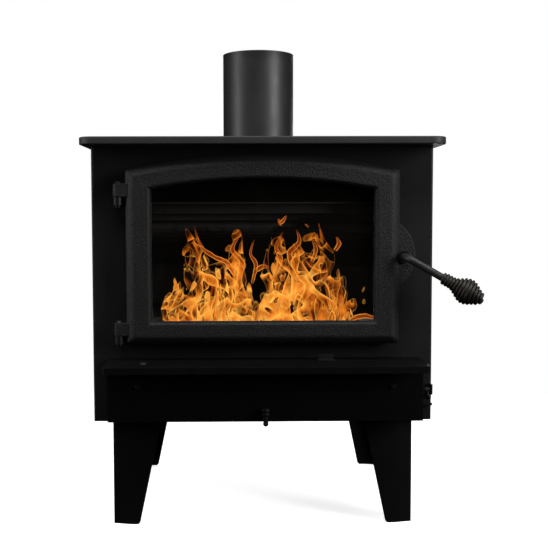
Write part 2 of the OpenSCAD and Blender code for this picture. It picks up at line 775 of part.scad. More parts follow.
module cam_nut() color([0.25, 0.25, 0.25]) placed() difference() {
    translate([shaft_x, shaft_end, shaft_z]) rotate([90, 0, 0])
        cylinder(r = 11, h = shaft_end - cam_y[1], $fn = 6);
    pin_y(shaft_x, shaft_z, shaft_r, -80, 0);
}

// a hook welded to the front panel; the cam's arm turns in behind its lip
module latch_catch() color([0.08, 0.08, 0.08]) placed() {
    slab([catch_x[0], catch_lip[0], catch_z[0]], [catch_x[1], 0, catch_z[2]]);
    slab([catch_x[1], catch_lip[0], catch_z[0]], [catch_x[2], catch_lip[1], catch_z[1]]);
}

top_plate();
left_side_panel();
right_side_panel();
front_panel();
back_panel();
bottom_panel();
firebox_floor();
firebox_left_wall();
firebox_right_wall();
firebox_back_wall();
firebox_roof();
floor_firebricks();
left_firebricks();
right_firebricks();
back_firebricks();
baffle_board();
air_wash_bar();
left_air_channel();
right_air_channel();
secondary_air_tubes();
flue_collar();
flue_pipe();
ash_shelf();
shelf_bolt();
shelf_slider();
slider_plate();
lower_box();
access_cover();
cover_screws();
air_control_rod();
air_control_knob();
air_gate();
air_duct();
lever_bracket();
side_lever();
lever_rail();
front_left_leg();
front_right_leg();
rear_left_leg();
rear_right_leg();
leg_bolts();
upper_hinge_bracket();
lower_hinge_bracket();
upper_hinge_pin();
lower_hinge_pin();
latch_catch();
door_frame();
door_glass();
glass_gasket();
glass_clips();
clip_screws();
door_rope_gasket();
handle_bushing();
handle_shaft();
coil_grip();
latch_cam();
cam_nut();
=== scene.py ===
import json
import math

import bmesh
import bpy
from mathutils import Matrix, Vector, noise


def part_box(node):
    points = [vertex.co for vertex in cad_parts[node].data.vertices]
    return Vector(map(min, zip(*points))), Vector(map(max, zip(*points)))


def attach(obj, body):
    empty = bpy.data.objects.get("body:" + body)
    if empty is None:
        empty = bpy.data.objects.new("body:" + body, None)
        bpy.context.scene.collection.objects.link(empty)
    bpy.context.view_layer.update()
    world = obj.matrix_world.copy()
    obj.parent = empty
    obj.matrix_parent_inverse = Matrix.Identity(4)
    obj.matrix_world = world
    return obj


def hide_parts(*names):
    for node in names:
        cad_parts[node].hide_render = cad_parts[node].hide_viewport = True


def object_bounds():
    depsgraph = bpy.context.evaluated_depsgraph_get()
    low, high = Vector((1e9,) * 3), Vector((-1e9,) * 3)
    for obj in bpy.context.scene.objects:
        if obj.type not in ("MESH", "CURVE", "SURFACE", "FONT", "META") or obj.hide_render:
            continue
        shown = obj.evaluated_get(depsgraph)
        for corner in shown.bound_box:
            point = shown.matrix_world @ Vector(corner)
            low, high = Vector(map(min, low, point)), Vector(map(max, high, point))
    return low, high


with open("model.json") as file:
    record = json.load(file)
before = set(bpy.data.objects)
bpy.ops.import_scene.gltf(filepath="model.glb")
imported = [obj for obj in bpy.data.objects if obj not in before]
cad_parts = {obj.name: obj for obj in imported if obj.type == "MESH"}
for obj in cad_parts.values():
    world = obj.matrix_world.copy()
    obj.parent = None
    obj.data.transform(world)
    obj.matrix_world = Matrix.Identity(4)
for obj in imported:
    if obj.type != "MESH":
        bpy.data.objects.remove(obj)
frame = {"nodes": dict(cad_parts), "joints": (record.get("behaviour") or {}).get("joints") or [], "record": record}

CAD_BOX = [list(corner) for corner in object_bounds()]
SCENE = bpy.context.scene
NODES = frame["nodes"]
JOINTS = {joint["name"]: joint for joint in frame["joints"]}

# Reference places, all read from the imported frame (metres).
PLATE_LOW, PLATE_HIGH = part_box("top_plate")
CENTRE_X = (PLATE_LOW.x + PLATE_HIGH.x) / 2
FACE_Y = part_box("front_panel")[0].y
HEARTH_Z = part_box("floor_firebricks")[1].z

# The door's outline: straight sides and base under an arched top, read from its rope gasket.
ROPE_INSET = 0.0112
ARCH_RADIUS = 1.121
ROPE_LOW, ROPE_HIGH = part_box("door_rope_gasket")
DOOR_HALF = (ROPE_HIGH.x - ROPE_LOW.x) / 2 + ROPE_INSET
DOOR_LOW = ROPE_LOW.z - ROPE_INSET
DOOR_CROWN = ROPE_HIGH.z + ROPE_INSET
DOOR_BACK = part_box("door_glass")[1].y
BAR_SIDE, BAR_BASE, BAR_TOP = 0.046, 0.0415, 0.044
OUTER_DEPTH, CREST_DEPTH, INNER_DEPTH = 0.014, 0.026, 0.017
OUTER_ROUND, INNER_ROUND = 0.40, 0.14

# The handle: its shaft's place comes from its joint, its direction from the design.
SHAFT = Vector(JOINTS["handle_turn"]["pos_m"])
HANDLE_DROP = math.radians(30.5)
HANDLE_LEAN = math.radians(16.6)
HANDLE_LENGTH = 0.154
HANDLE_R = 0.0068
GRIP_START = 0.070
SHAFT_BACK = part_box("handle_shaft")[1].y
SHAFT_LENGTH = 0.0595
ELBOW = Vector((SHAFT.x, SHAFT_BACK - SHAFT_LENGTH, SHAFT.z))
HANDLE_DIR = Vector((
    math.cos(HANDLE_LEAN) * math.cos(HANDLE_DROP),
    -math.sin(HANDLE_LEAN),
    -math.cos(HANDLE_LEAN) * math.sin(HANDLE_DROP),
))


# ---------------------------------------------------------------- node materials

class Shader:
    """A material under construction: adds nodes and links them with short calls."""

    def __init__(self, name):
        self.material = bpy.data.materials.new(name)
        self.material.use_nodes = True
        self.tree = self.material.node_tree
        self.tree.nodes.clear()
        self.output = self.add("ShaderNodeOutputMaterial")

    def add(self, kind, inputs=None, **settings):
        made = self.tree.nodes.new(kind)
        for key, value in settings.items():
            setattr(made, key, value)
        for key, value in (inputs or {}).items():
            self.feed(made.inputs[key], value)
        return made

    def feed(self, socket, value):
        if isinstance(value, bpy.types.NodeSocket):
            self.tree.links.new(value, socket)
        else:
            socket.default_value = value

    def place(self, stretch=(1, 1, 1)):
        """The piece's own coordinates in metres, stretched by a factor on each axis."""
        coords = self.add("ShaderNodeTexCoord")
        mapping = self.add("ShaderNodeMapping", {"Vector": coords.outputs["Object"], "Scale": stretch})
        return mapping.outputs[0]

    def noise(self, scale, detail=3.0, roughness=0.55, stretch=(1, 1, 1)):
        texture = self.add("ShaderNodeTexNoise", {
            "Vector": self.place(stretch), "Scale": scale, "Detail": detail, "Roughness": roughness})
        return texture.outputs["Fac"]

    def math(self, operation, first, second=0.0, third=None, clamp=False):
        made = self.add("ShaderNodeMath", operation=operation, use_clamp=clamp)
        self.feed(made.inputs[0], first)
        self.feed(made.inputs[1], second)
        if third is not None:
            self.feed(made.inputs[2], third)
        return made.outputs[0]

    def remap(self, value, low, high, to_low=0.0, to_high=1.0, smooth=False):
        made = self.add("ShaderNodeMapRange", {
            "Value": value, "From Min": low, "From Max": high, "To Min": to_low, "To Max": to_high})
        if smooth:
            made.interpolation_type = "SMOOTHSTEP"
        return made.outputs[0]

    def mix(self, factor, first, second):
        made = self.add("ShaderNodeMix", data_type="RGBA")
        self.feed(made.inputs["Factor"], factor)
        self.feed(made.inputs["A"], first)
        self.feed(made.inputs["B"], second)
        return made.outputs["Result"]

    def bump(self, height, distance, strength=1.0, under=None):
        made = self.add("ShaderNodeBump", {"Height": height, "Distance": distance, "Strength": strength})
        if under is not None:
            self.feed(made.inputs["Normal"], under)
        return made.outputs[0]

    def principled(self, **inputs):
        made = self.add("ShaderNodeBsdfPrincipled")
        for key, value in inputs.items():
            self.feed(made.inputs[key.replace("_", " ")], value)
        self.feed(self.output.inputs["Surface"], made.outputs[0])
        return self.material


def grey(value, warmth=0.0):
    """A near-neutral colour; warmth adds red and takes away blue."""
    return (value * (1 + warmth), value, value * (1 - warmth), 1)


def stove_paint(name, shade, rough=0.48, grain=0.00012, grain_scale=900, gloss=0.35, warmth=0.02):
    """High-temperature paint: a fine sprayed grain, slow cloudy change of tone, faint handling marks."""
    s = Shader(name)
    clouds = s.noise(7, 4)
    specks = s.noise(grain_scale, 2)
    smears = s.noise(30, 5, 0.65, (1, 1, 0.35))
    tone = s.math("MULTIPLY_ADD", clouds, 0.5, 0.75)
    light = s.mix(s.remap(specks, 0.35, 0.75), grey(shade * 0.8, warmth), grey(shade * 1.25, warmth))
    colour = s.mix(s.remap(tone, 0.85, 1.15), light, grey(shade * 1.15, warmth))
    surface = s.math("ADD", s.remap(smears, 0.3, 0.7, rough - 0.06, rough + 0.08),
                     s.remap(specks, 0.3, 0.7, -0.04, 0.04))
    slow = s.bump(s.noise(60, 2), 0.0004, 0.25)
    normal = s.bump(specks, grain, 0.8, slow)
    return s.principled(Base_Color=colour, Roughness=surface, Normal=normal, Specular_IOR_Level=gloss)


def cast_paint(name, shade, rough=0.52, gloss=0.4):
    """Painted sand casting: a coarse pitted skin over soft waves, a little more worn on its high spots."""
    s = Shader(name)
    grit = s.noise(300, 4, 0.7)
    pits = s.add("ShaderNodeTexVoronoi", {"Vector": s.place(), "Scale": 260.0}).outputs["Distance"]
    waves = s.noise(45, 3)
    pepper = s.remap(grit, 0.38, 0.68)
    colour = s.mix(pepper, grey(shade * 0.55), grey(shade * 1.7, 0.02))
    surface = s.remap(grit, 0.3, 0.7, rough + 0.1, rough - 0.08)
    normal = s.bump(waves, 0.0012, 0.35)
    normal = s.bump(s.remap(pits, 0.0, 0.5), 0.0008, 0.6, normal)
    normal = s.bump(grit, 0.0011, 0.9, normal)
    return s.principled(Base_Color=colour, Roughness=surface, Normal=normal, Specular_IOR_Level=gloss)


def worn_steel(name, shade, rough, warmth):
    """Bare or oiled steel with fine scratches, heat stains and dull patches."""
    s = Shader(name)
    stains = s.noise(22, 4)
    lines = s.noise(420, 3, 0.6, (1, 1, 12))
    colour = s.mix(s.remap(stains, 0.35, 0.7), grey(shade * 0.7, warmth), grey(shade * 1.4, warmth * 2))
    surface = s.math("ADD", s.remap(stains, 0.3, 0.7, rough - 0.08, rough + 0.12),
                     s.remap(lines, 0.3, 0.7, -0.06, 0.06))
    normal = s.bump(lines, 0.00006, 0.7)
    return s.principled(Base_Color=colour, Metallic=0.85, Roughness=surface, Normal=normal)


def firebrick(name):
    """Pale refractory brick, crumbly, burnt clean beside the fire, with random soot patches; higher up, painted
    shade from the baffle turns it black.
    """
    s = Shader(name)
    grains = s.noise(260, 5, 0.7)
    height = s.add("ShaderNodeSeparateXYZ", {0: s.place()}).outputs[2]
    wavy = s.math("MULTIPLY_ADD", s.noise(14, 3), 0.030, height)
    # Painted shade: above a wavy line near the top the brick turns black, standing in for the shadow under the
    # baffle.
    shade_start = HEARTH_Z + 0.096
    shade_full = HEARTH_Z + 0.108
    baffle_shade = s.remap(wavy, shade_start, shade_full, smooth=True)
    # soot holds both the random soot patches and the painted baffle shade.
    soot = s.math("MAXIMUM", baffle_shade, s.remap(s.noise(9, 4), 0.42, 0.85, smooth=True))
    clean = s.mix(s.remap(grains, 0.35, 0.65), (0.22, 0.215, 0.205, 1), (0.36, 0.352, 0.34, 1))
    colour = s.mix(s.math("MULTIPLY", soot, 0.92), clean, (0.010, 0.009, 0.008, 1))
    surface = s.remap(grains, 0.3, 0.7, 0.78, 0.96)
    normal = s.bump(s.noise(70, 4), 0.002, 0.5)
    normal = s.bump(grains, 0.0008, 0.8, normal)
    return s.principled(Base_Color=colour, Roughness=surface, Normal=normal, Specular_IOR_Level=0.2)


def sooty_plate(name):
    """Steel inside the firebox under soft grey ash and soot."""
    s = Shader(name)
    ash = s.remap(s.noise(14, 5, 0.65), 0.4, 0.7)
    flakes = s.noise(300, 4, 0.7)
    colour = s.mix(s.math("MULTIPLY", ash, flakes), (0.004, 0.0038, 0.0036, 1), (0.022, 0.020, 0.019, 1))
    return s.principled(Base_Color=colour, Roughness=s.remap(flakes, 0.3, 0.7, 0.62, 0.9),
                        Normal=s.bump(flakes, 0.0006, 0.6), Specular_IOR_Level=0.25)


def heat_stained(name):
    """Stainless air tubes and bar, tinted straw by heat and dulled by soot."""
    s = Shader(name)
    heat = s.noise(12, 3)
    brushed = s.noise(500, 3, 0.6, (0.05, 1, 1))
    straw = s.mix(s.remap(heat, 0.35, 0.6), (0.070, 0.069, 0.068, 1), (0.075, 0.067, 0.059, 1))
    colour = s.mix(s.remap(s.noise(25, 5), 0.5, 0.75), straw, (0.03, 0.028, 0.03, 1))
    return s.principled(Base_Color=colour, Metallic=0.8, Roughness=s.remap(brushed, 0.3, 0.7, 0.34, 0.55),
                        Normal=s.bump(brushed, 0.00008, 0.6))


def fibre_board(name):
    """Soft ceramic-fibre board, its long fibres showing through the soot."""
    s = Shader(name)
    fibres = s.noise(180, 5, 0.75, (1, 3, 1))
    soot = s.remap(s.noise(8, 4), 0.35, 0.65)
    pale = s.mix(fibres, (0.030, 0.028, 0.026, 1), (0.052, 0.049, 0.044, 1))
    return s.principled(Base_Color=s.mix(soot, pale, (0.008, 0.007, 0.0065, 1)), Roughness=0.93,
                        Normal=s.bump(fibres, 0.0010, 0.7), Specular_IOR_Level=0.15)


def glass_rope(name):
    """Grey glass-fibre rope: fine threads along its braid, dusted with soot."""
    s = Shader(name)
    threads = s.noise(700, 3, 0.6)
    soot = s.remap(s.noise(25, 3), 0.35, 0.7)
    fresh = s.mix(threads, (0.10, 0.095, 0.088, 1), (0.26, 0.25, 0.235, 1))
    surface = s.remap(threads, 0.3, 0.7, 0.8, 0.95)
    return s.principled(Base_Color=s.mix(soot, fresh, (0.05, 0.046, 0.043, 1)), Roughness=surface,
                        Normal=s.bump(threads, 0.0003, 0.8), Sheen_Weight=0.25)


def stove_glass(name):
    """Clear ceramic glass, see-through, with a faint brown haze and patches that fingers have dulled."""
    s = Shader(name)
    haze = s.remap(s.noise(6, 4), 0.35, 0.75, 0.05, 0.16)
    smudge = s.remap(s.noise(40, 5, 0.7), 0.3, 0.7, 0.03, 0.10)
    return s.principled(Base_Color=(0.012, 0.010, 0.008, 1), Roughness=smudge, Alpha=haze,
                        Specular_IOR_Level=0.5)


def glow_through(s, colour, alpha):
    """Light given off where alpha is high, clear air elsewhere; only a little of it reaches the stove."""
    seen_strength = 1.38
    cast_strength = 0.10
    cast_colour = (0.9, 0.82, 0.75, 1)
    rays = s.add("ShaderNodeLightPath").outputs["Is Camera Ray"]
    strength = s.remap(rays, 0.0, 1.0, cast_strength, seen_strength)
    glow = s.add("ShaderNodeEmission", {"Color": s.mix(rays, cast_colour, colour), "Strength": strength})
    clear = s.add("ShaderNodeBsdfTransparent")
    mixed = s.add("ShaderNodeMixShader", {0: alpha, 1: clear.outputs[0], 2: glow.outputs[0]})
    s.feed(s.output.inputs["Surface"], mixed.outputs[0])
    return s.material


def swirl(s, spot, scale, push_scale, warp, stretch, detail):
    """Noise read at places that another noise has pushed about, which draws it into rising curls."""
    push = s.add("ShaderNodeTexNoise", {"Vector": spot, "Scale": push_scale, "Detail": 1.0})
    centred = s.add("ShaderNodeVectorMath", {0: push.outputs["Color"], 1: (0.5, 0.5, 0.5)},
                    operation="SUBTRACT")
    bent = s.add("ShaderNodeVectorMath", {0: centred.outputs[0], 1: (warp, warp, warp), 2: spot},
                 operation="MULTIPLY_ADD")
    squeezed = s.add("ShaderNodeMapping", {"Vector": bent.outputs[0], "Scale": (1, 1, stretch)})
    curls = s.add("ShaderNodeTexNoise", {
        "Vector": squeezed.outputs[0], "Scale": scale, "Detail": detail, "Roughness": 0.45})
    return curls.outputs["Fac"]


def flame_glow(name):
    """Fire on a sheet: silky folds, bright on one side and fading on the other, redder toward the top."""
    s = Shader(name)
    seed = s.add("ShaderNodeAttribute", attribute_name="flame_seed").outputs["Fac"]
    reach = s.add("ShaderNodeAttribute", attribute_name="flame_reach").outputs["Fac"]
    spot = s.add("ShaderNodeTexCoord").outputs["Object"]
    offset = s.add("ShaderNodeCombineXYZ", {1: s.math("MULTIPLY", seed, 7.0)}).outputs[0]
    moved = s.add("ShaderNodeVectorMath", {0: spot, 1: offset}, operation="ADD").outputs[0]
    height = s.math("SUBTRACT", s.add("ShaderNodeSeparateXYZ", {0: spot}).outputs[2], HEARTH_Z)
    rise = s.math("DIVIDE", height, FLAME_TOP)
    cool = s.remap(rise, 0.40, 1.0, smooth=True)

    # There is fire below the sheet's reach, and its edge is torn more loosely higher up.
    edges = swirl(s, moved, 30, 11, 0.11, 0.30, 1.5)
    loose = s.math("MULTIPLY_ADD", rise, 0.34, 0.16)
    torn = s.math("SUBTRACT", edges, 0.50)
    field = s.math("MULTIPLY_ADD", torn, loose, s.math("SUBTRACT", reach, height))
    inside = s.remap(field, 0.0, 0.006, smooth=True)
    rim = s.remap(field, 0.012, 0.0, smooth=True)

    # Folds and finer pleats: each grows brighter across its width, then starts again dark.
    fold = s.math("FRACT", s.math("MULTIPLY", swirl(s, moved, 15, 9, 0.19, 0.32, 1.0), 6.5))
    pleat = s.math("FRACT", s.math("MULTIPLY", swirl(s, moved, 38, 14, 0.12, 0.28, 1.0), 3.5))
    fine_sheen = s.math("MULTIPLY", s.math("POWER", pleat, 9.0), 0.5)
    sheen = s.math("ADD", s.math("POWER", fold, 7.0), fine_sheen)
    heat = s.math("MULTIPLY_ADD", fold, 0.55, s.math("MULTIPLY", pleat, 0.30))
    lines = s.math("MAXIMUM", sheen, s.math("MULTIPLY", rim, 0.75), clamp=True)

    thinning = s.math("MULTIPLY_ADD", cool, -0.55, 1.0)
    body = s.math("MULTIPLY", s.remap(heat, 0.26, 0.74, 0.01, 0.92, smooth=True), thinning)
    alpha = s.math("MULTIPLY", inside, s.math("MAXIMUM", body, s.math("MULTIPLY", lines, 0.85)), clamp=True)
    dark = s.mix(cool, (0.16, 0.014, 0.001, 1), (0.06, 0.004, 0.001, 1))
    warm = s.mix(s.remap(heat, 0.28, 0.84, smooth=True), dark, (0.94, 0.185, 0.003, 1))
    bright = s.mix(cool, (1.0, 0.49, 0.075, 1), (0.95, 0.23, 0.012, 1))
    return glow_through(s, s.mix(lines, warm, bright), alpha)


def wisp_glow(name):
    """A loose lick of flame: two bright edges, little between them, fading out at both ends."""
    s = Shader(name)
    across = s.add("ShaderNodeAttribute", attribute_name="wisp_across").outputs["Fac"]
    along = s.add("ShaderNodeAttribute", attribute_name="wisp_along").outputs["Fac"]
    ragged = s.math("MULTIPLY", s.math("SUBTRACT", s.noise(60, 2), 0.5), 0.9)
    wide = s.math("ADD", s.math("ABSOLUTE", across), ragged)
    edge = s.remap(s.math("ABSOLUTE", s.math("SUBTRACT", wide, 0.62)), 0.24, 0.0, smooth=True)
    filling = s.remap(wide, 0.80, 0.55, 0.0, 0.45, smooth=True)
    root = s.remap(along, 0.0, 0.12, smooth=True)
    tip = s.remap(along, 1.0, 0.80, smooth=True)
    ends = s.math("MULTIPLY", s.math("MULTIPLY", root, tip), 0.9)
    alpha = s.math("MULTIPLY", s.math("MAXIMUM", edge, filling), ends, clamp=True)
    hot = s.mix(edge, (0.52, 0.065, 0.003, 1), (1.0, 0.42, 0.05, 1))
    redder = s.mix(s.math("MULTIPLY", along, 0.75), hot, (0.42, 0.05, 0.006, 1))
    return glow_through(s, redder, alpha)


MATERIALS = {
    "body_paint": stove_paint("body_paint", 0.0056, 0.50, gloss=0.20),
    "plate_paint": stove_paint("plate_paint", 0.0150, 0.56, gloss=0.34),
    # Painted shade: a darker copy of the body paint, for the shelf and the box in its shadow.
    "shaded_body_paint": stove_paint("shaded_body_paint", 0.0020, 0.50, gloss=0.07),
    "leg_paint": stove_paint("leg_paint", 0.0026, 0.55, gloss=0.08),
    "flue_paint": stove_paint("flue_paint", 0.0120, 0.42, 0.0001, 1100, gloss=0.40),
    "door_cast": cast_paint("door_cast", 0.0068, 0.52, 0.22),
    "fittings": stove_paint("fittings", 0.0040, 0.45, gloss=0.18),
    "handle_steel": stove_paint("handle_steel", 0.012, 0.46, gloss=0.30),
    "coil_steel": stove_paint("coil_steel", 0.0085, 0.44, gloss=0.26, warmth=0.34),
    "small_steel": worn_steel("small_steel", 0.012, 0.45, 0.03),
    "firebox_steel": sooty_plate("firebox_steel"),
    "air_steel": heat_stained("air_steel"),
    "firebrick": firebrick("firebrick"),
    "baffle_fibre": fibre_board("baffle_fibre"),
    "ceramic_glass": stove_glass("ceramic_glass"),
    "rope": glass_rope("rope"),
}
SLOT_OF = {part["node"]: part["material_slot"] for part in frame["record"]["subparts"]}
BODIES = frame["record"]["behaviour"]["bodies"]
BODY_OF = {node: body for body, members in BODIES.items() for node in members}
# Painted shade: the shelf and the box under it take a darker, duller copy of the body paint, so they look shaded.
SHADED_FINISH = {node: "shaded_body_paint" for node in ("ash_shelf", "lower_box", "access_cover")}


# ---------------------------------------------------------------- making pieces

def blend(a, b, t):
    """The value a share t of the way from a to b."""
    return a + (b - a) * t


def settle(obj, body, slot_name, stands_for=(), finish=None):
    """Gives a finished piece its material, its CAD body and the CAD nodes it stands for."""
    obj.data.materials.clear()
    obj.data.materials.append(MATERIALS[finish or slot_name])
    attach(obj, body)
    if stands_for:
        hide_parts(*stands_for)
    return obj


def piece(name, bm, smooth_angle=35):
    """Turns a bmesh into an object with smooth curves and crisp corners."""
    bmesh.ops.recalc_face_normals(bm, faces=bm.faces)
    mesh = bpy.data.meshes.new(name)
    bm.to_mesh(mesh)
    bm.free()
    mesh.polygons.foreach_set("use_smooth", [True] * len(mesh.polygons))
    mesh.set_sharp_from_angle(angle=math.radians(smooth_angle))
    obj = bpy.data.objects.new(name, mesh)
    SCENE.collection.objects.link(obj)
    return obj


def soften(obj, width, segments=3, angle=30):
    """Rounds the sharp edges the way rolled, cast or cut edges are."""
    obj.data.polygons.foreach_set("use_smooth", [True] * len(obj.data.polygons))
    bevel = obj.modifiers.new("edges", "BEVEL")
    bevel.width = width
    bevel.segments = segments
    bevel.limit_method = "ANGLE"
    bevel.angle_limit = math.radians(angle)
    bevel.use_clamp_overlap = True
    flats = obj.modifiers.new("flats", "WEIGHTED_NORMAL")
    flats.mode = "FACE_AREA"
    return obj


def softened_node(node, width):
    """A copy of a CAD node with its edges rounded."""
    bm = bmesh.new()
    bm.from_mesh(NODES[node].data)
    bmesh.ops.remove_doubles(bm, verts=bm.verts, dist=1e-6)
    bmesh.ops.dissolve_limit(bm, angle_limit=math.radians(1), verts=bm.verts, edges=bm.edges)
    mesh = bpy.data.meshes.new(node + "_finished")
    bm.to_mesh(mesh)
    bm.free()
    obj = bpy.data.objects.new(node + "_finished", mesh)
    SCENE.collection.objects.link(obj)
    soften(obj, width, 2)
    return settle(obj, BODY_OF[node], SLOT_OF[node], (node,), SHADED_FINISH.get(node))


def bridge(bm, rings, close_rings=False):
    """Faces between successive rings of points, and from the last ring to the first where asked."""
    rows = [[bm.verts.new(p) for p in ring] for ring in rings]
    count = len(rows[0])
    pairs = list(zip(rows, rows[1:])) + ([(rows[-1], rows[0])] if close_rings else [])
    for first, second in pairs:
        for i in range(count):
            j = (i + 1) % count
            bm.faces.new((first[i], first[j], second[j], second[i]))
    return rows


def tube_rings(points, radius_at, sides):
    """Rings of a tube along points; radius_at(i) is its radius at point i."""
    directions = [(b - a).normalized() for a, b in zip(points, points[1:])]
    directions.append(directions[-1])
    normal = directions[0].orthogonal().normalized()
    rings = []
    for i, (point, direction) in enumerate(zip(points, directions)):
        normal = (normal - direction * normal.dot(direction)).normalized()
        side = direction.cross(normal)
        ring = []
        for k in range(sides):
            turn = 2 * math.pi * k / sides
            ring.append(point + (normal * math.cos(turn) + side * math.sin(turn)) * radius_at(i))
        rings.append(ring)
    return rings


def tube(name, points, radius_at, sides):
    """A tube along points, closed at both ends."""
    bm = bmesh.new()
    rows = bridge(bm, tube_rings(points, radius_at, sides))
    bm.faces.new(list(reversed(rows[0])))
    bm.faces.new(rows[-1])
    return piece(name, bm, 50)


def lathe(name, profile, place, segments):
    """Turns (radius, height) points round an upright axis at place; the profile is a closed loop."""
    bm = bmesh.new()
    rings = []
    for radius, height in profile:
        rings.append([place + Vector((radius * math.cos(a), radius * math.sin(a), height))
                      for a in (2 * math.pi * k / segments for k in range(segments))])
    bridge(bm, rings, close_rings=True)
    return piece(name, bm, 40)


# ---------------------------------------------------------------- the door casting

def door_outline(side, base, top, corner_r, per_edge=36):
    """The door's outline as (x, z), moved in from its sides, base and top, its four corners rounded."""
    corner_steps = 5
    half = DOOR_HALF - side
    low = DOOR_LOW + base
    radius = ARCH_RADIUS - top
    arch_z = DOOR_CROWN - ARCH_RADIUS
    swing = math.asin(half / radius)
    shoulder = arch_z + radius * math.cos(swing)

    def on_arch(angle):
        return Vector((radius * math.sin(angle), arch_z + radius * math.cos(angle)))

    edges = [
        lambda t: Vector((-half, blend(low, shoulder, t))),
        lambda t: on_arch(blend(-swing, swing, t)),
        lambda t: Vector((half, blend(shoulder, low, t))),
        lambda t: Vector((blend(half, -half, t), low)),
    ]
    lengths = [shoulder - low, 2 * half, shoulder - low, 2 * half]
    points = []
    for i, edge in enumerate(edges):
        trim = corner_r / lengths[i]
        points += [edge(blend(trim, 1 - trim, k / per_edge)) for k in range(per_edge + 1)]
        after = (i + 1) % len(edges)
        start = edge(1 - trim)
        corner = edge(1)
        end = edges[after](corner_r / lengths[after])
        for k in range(1, corner_steps):
            t = k / corner_steps
            points.append(start * (1 - t) ** 2 + corner * 2 * t * (1 - t) + end * t * t)
    return [(p.x, p.y) for p in points]


def frame_profile():
    """The cast bar's section as (share across the bar, depth from the door's back)."""
    rebate, rebate_depth = 0.785, 0.006
    groove_near, groove_far, groove_depth = 0.24, 0.50, 0.002
    rise_steps, crest_steps, fall_steps = 12, 7, 10
    points = [(0.0, 0.0), (0.0, OUTER_DEPTH - 0.002), (0.006, OUTER_DEPTH - 0.0006)]
    for k in range(1, rise_steps + 1):
        t = k / rise_steps
        points.append((OUTER_ROUND * t, blend(OUTER_DEPTH, CREST_DEPTH, math.sin(t * math.pi / 2))))
    for k in range(1, crest_steps):
        points.append((blend(OUTER_ROUND, 1 - INNER_ROUND, k / crest_steps), CREST_DEPTH))
    for k in range(fall_steps + 1):
        a = math.pi / 2 * k / fall_steps
        depth = blend(INNER_DEPTH, CREST_DEPTH, math.cos(a))
        points.append((1 - INNER_ROUND * (1 - math.sin(a)), depth))
    glass_rebate = [(1.0, rebate_depth + 0.001), (1.0, rebate_depth), (rebate, rebate_depth), (rebate, 0.0)]
    rope_groove = [(groove_far, 0.0), (groove_far, groove_depth),
                   (groove_near, groove_depth), (groove_near, 0.0)]
    return points + glass_rebate + rope_groove


def door_casting():
    """The arched frame, its section swept round the door's outline, with a faintly lumpy cast skin."""
    outer_corner, inner_corner = 0.006, 0.003
    bm = bmesh.new()
    rings = []
    for share, depth in frame_profile():
        corner_r = blend(outer_corner, inner_corner, share)
        outline = door_outline(BAR_SIDE * share, BAR_BASE * share, BAR_TOP * share, corner_r)
        rings.append([Vector((CENTRE_X + x, DOOR_BACK - depth, z)) for x, z in outline])
    bridge(bm, rings, close_rings=True)
    bm.normal_update()
    for v in bm.verts:
        if v.co.y < DOOR_BACK - INNER_DEPTH / 2:
            lumps = noise.noise(v.co * 55) * 0.0003 + noise.noise(v.co * 170) * 0.0002
            v.co += v.normal * (lumps - 0.0003)
    return settle(piece("door_frame_casting", bm, 60), "door", "door_cast", ("door_frame",))


def extruded(name, outline, low, high, axis, width, segments=3):
    """A flat outline made solid along an axis between low and high, with rounded edges."""
    def spot(p, level):
        return Vector((p[0], level, p[1])) if axis == "y" else Vector((p[0], p[1], level))

    bm = bmesh.new()
    near = [bm.verts.new(spot(p, low)) for p in outline]
    far = [bm.verts.new(spot(p, high)) for p in outline]
    bm.faces.new(near)
    bm.faces.new(list(reversed(far)))
    for i in range(len(outline)):
        j = (i + 1) % len(outline)
        bm.faces.new((near[j], near[i], far[i], far[j]))
    obj = piece(name, bm)
    return soften(obj, width, segments)


def latch_ear():
    """The half-round ear on the door's right edge that carries the handle."""
    right_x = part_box("door_frame")[1].x
    radius = 0.072
    thickness = 0.013
    into_frame = 0.010
    hub = Vector((right_x - radius, 0, SHAFT.z + 0.002))
    inner_x = CENTRE_X + DOOR_HALF - into_frame
    swing = math.acos((inner_x - hub.x) / radius)
    steps = 40
    outline = [(hub.x + radius * math.cos(a), hub.z + radius * math.sin(a))
               for a in (blend(-swing, swing, k / steps) for k in range(steps + 1))]
    ear = extruded("door_latch_ear", outline, SHAFT.y, SHAFT.y + thickness, "y", 0.0022)
    return settle(ear, "door", "door_cast")


def hinge_lugs():
    """The two knuckles on the door's left edge that turn on the hinge pins, above the brackets."""
    knuckle_r = 0.009
    knuckle_back = 0.007
    into_frame = 0.006
    pin_head = 0.0055
    gap = 0.0005
    edge = CENTRE_X - DOOR_HALF + into_frame
    for name in ("upper", "lower"):
        low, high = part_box(name + "_hinge_pin")
        middle = (low + high) / 2
        bracket_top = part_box(name + "_hinge_bracket")[1].z
        round_part = [(middle.x + knuckle_r * math.cos(a), middle.y + knuckle_r * math.sin(a))
                      for a in (math.radians(d) for d in range(90, 271, 15))]
        outline = round_part + [(edge, middle.y - knuckle_r), (edge, middle.y + knuckle_back)]
        lug = extruded(name + "_door_lug", outline, bracket_top + gap, high.z - pin_head, "z", 0.0012)
        settle(lug, "door", "door_cast")


# ---------------------------------------------------------------- the handle

def along_handle(distance):
    """A place on the handle's centre line, measured from its elbow."""
    return ELBOW + HANDLE_DIR * distance


